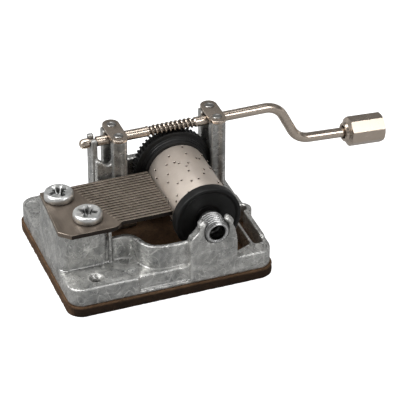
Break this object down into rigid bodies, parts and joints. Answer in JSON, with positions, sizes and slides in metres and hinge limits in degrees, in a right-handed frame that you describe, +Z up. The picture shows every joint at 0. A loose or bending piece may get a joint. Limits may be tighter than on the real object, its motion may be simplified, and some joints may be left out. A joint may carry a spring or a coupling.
{
  "type": "hand-cranked musical movement",
  "caption": "Hand-cranked musical movement: pinned cylinder, steel comb, worm-driven gear and bent crank on a cast bedplate and board.",
  "frame": {"origin": "centre of the base board's underside", "axes": "+X along the crank shaft towards the grip, +Y from the front bearing to the back, +Z up"},
  "size_m": [0.0933, 0.0434, 0.0292],
  "materials": {
    "hardboard": "dark brown pressed hardboard with a rough sawn edge",
    "zinc": "as-cast grey zinc alloy, satin, with flow marks",
    "comb_steel": "tempered spring steel, brown-grey satin",
    "bright_zinc": "bright zinc plating",
    "nickel": "warm nickel plating, glossy",
    "satin_nickel": "satin nickel plated brass",
    "black_plastic": "moulded black plastic, satin",
    "steel": "plain turned steel",
    "lead": "dull lead"
  },
  "bodies": {
    "frame": {"base_board": "hardboard", "bedplate": "zinc", "comb": "comb_steel", "comb_screw_rear": "bright_zinc", "comb_screw_front": "bright_zinc", "board_screw_left": "bright_zinc", "board_screw_rear": "bright_zinc", "board_screw_right": "bright_zinc", "tine_weight_1": "lead", "tine_weight_2": "lead", "tine_weight_3": "lead", "tine_weight_4": "lead", "tine_weight_5": "lead", "tine_weight_6": "lead", "tine_weight_7": "lead", "damper_wire_1": "steel", "damper_wire_2": "steel", "damper_wire_3": "steel", "damper_wire_4": "steel", "damper_wire_5": "steel", "damper_wire_6": "steel", "front_bush": "zinc", "clip_plate_left": "nickel", "clip_plate_right": "nickel"},
    "cylinder": {"cylinder_barrel": "satin_nickel", "front_flange": "black_plastic", "worm_gear": "black_plastic", "cylinder_arbor": "steel"},
    "crank": {"crank_shaft": "nickel"},
    "grip": {"crank_knob": "nickel"}
  },
  "joints": [
    {"name": "crank_turn", "type": "hinge", "parent": "frame", "child": "crank", "pos_m": [0, 0.0107, 0.02675], "axis": [-1, 0, 0], "continuous": true},
    {"name": "cylinder_turn", "type": "hinge", "parent": "frame", "child": "cylinder", "pos_m": [0.01084, 0, 0.0161], "axis": [0, 1, 0], "continuous": true},
    {"name": "grip_spin", "type": "hinge", "parent": "crank", "child": "grip", "pos_m": [0.0568, 0.0107, 0.01506], "axis": [0.998, 0, -0.0628], "continuous": true}
  ],
  "couplings": [
    {"joint": "cylinder_turn", "follows": "crank_turn", "ratio": 0.019231}
  ]
}
